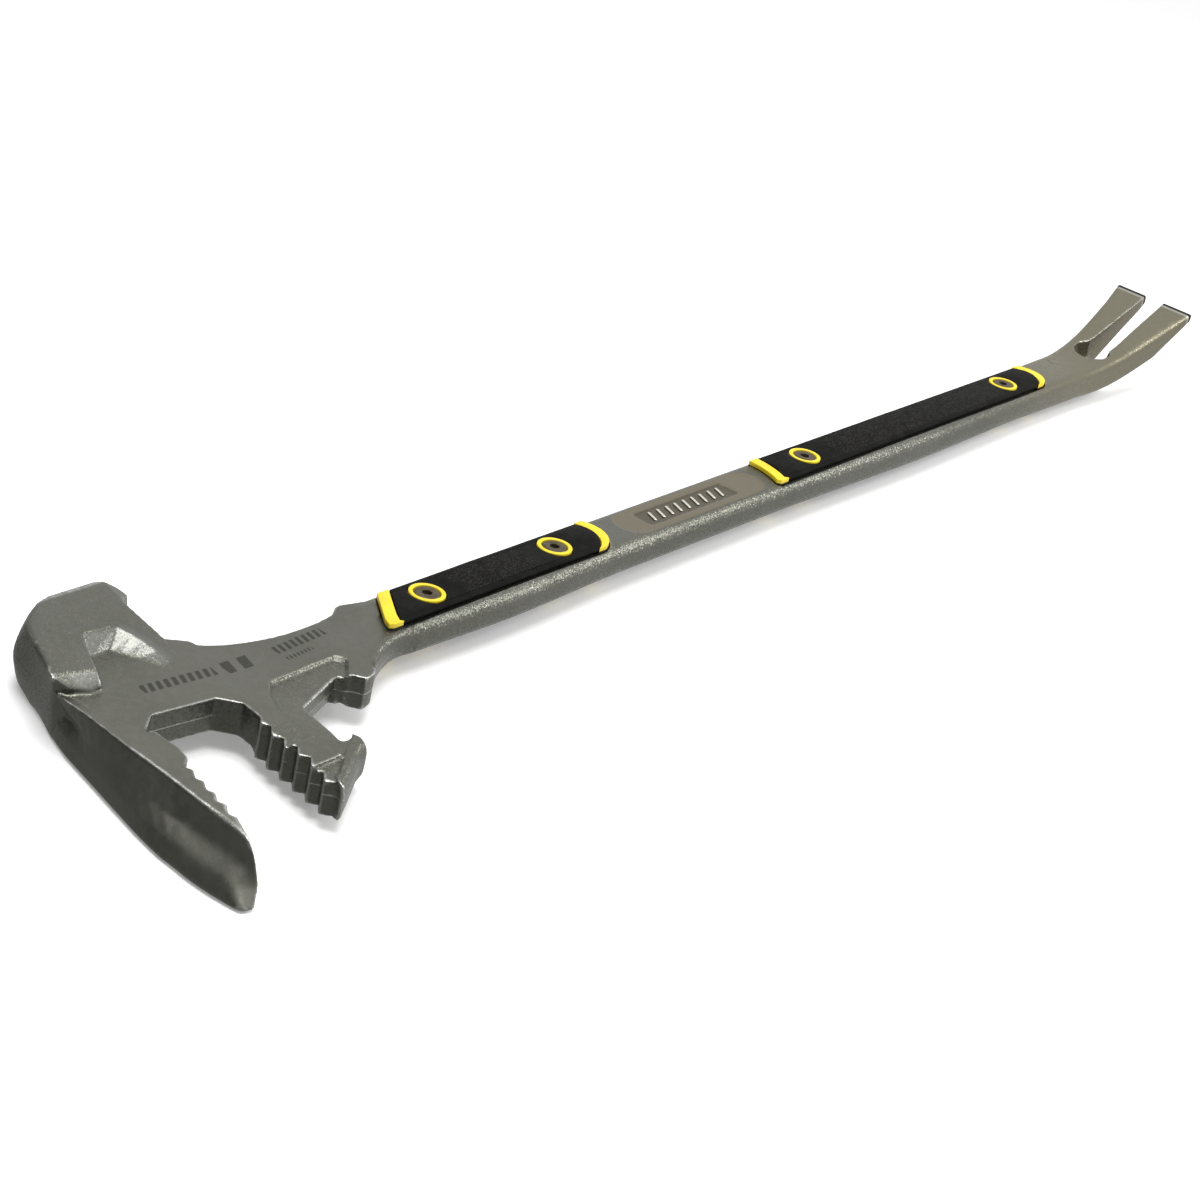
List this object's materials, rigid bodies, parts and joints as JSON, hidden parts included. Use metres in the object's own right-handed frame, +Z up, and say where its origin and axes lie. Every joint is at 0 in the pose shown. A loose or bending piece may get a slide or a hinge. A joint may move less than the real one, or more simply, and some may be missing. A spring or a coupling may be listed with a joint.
{
  "type": "forged demolition entry bar",
  "caption": "Forged entry and demolition bar with a toothed board jaw, striking block, notch hook and slotted claw, and bolted hand grips.",
  "frame": {"origin": "centre of the bounding box in plan, at its lowest point", "axes": "+X along the bar from the jaw end to the claw tip, +Y towards the striking face with the jaws opening to -Y, +Z up out of the wide face, the side the claw bends to"},
  "size_m": [0.7658, 0.153, 0.0437],
  "materials": {
    "forged_steel": "blasted forging, grey-green, bright worn edges",
    "yellow_carrier": "smooth moulded yellow plastic",
    "black_overmould": "fine pebbled black overmould",
    "fastener_steel": "dark oxide socket heads"
  },
  "bodies": {
    "root": {"forged_bar": "forged_steel", "grip_carrier_short_top": "yellow_carrier", "grip_pad_short_top": "black_overmould", "grip_carrier_short_bottom": "yellow_carrier", "grip_pad_short_bottom": "black_overmould", "socket_screw_short_1": "fastener_steel", "sleeve_nut_short_1": "fastener_steel", "socket_screw_short_2": "fastener_steel", "sleeve_nut_short_2": "fastener_steel", "grip_carrier_long_top": "yellow_carrier", "grip_pad_long_top": "black_overmould", "grip_carrier_long_bottom": "yellow_carrier", "grip_pad_long_bottom": "black_overmould", "socket_screw_long_1": "fastener_steel", "sleeve_nut_long_1": "fastener_steel", "socket_screw_long_2": "fastener_steel", "sleeve_nut_long_2": "fastener_steel"}
  },
  "joints": []
}
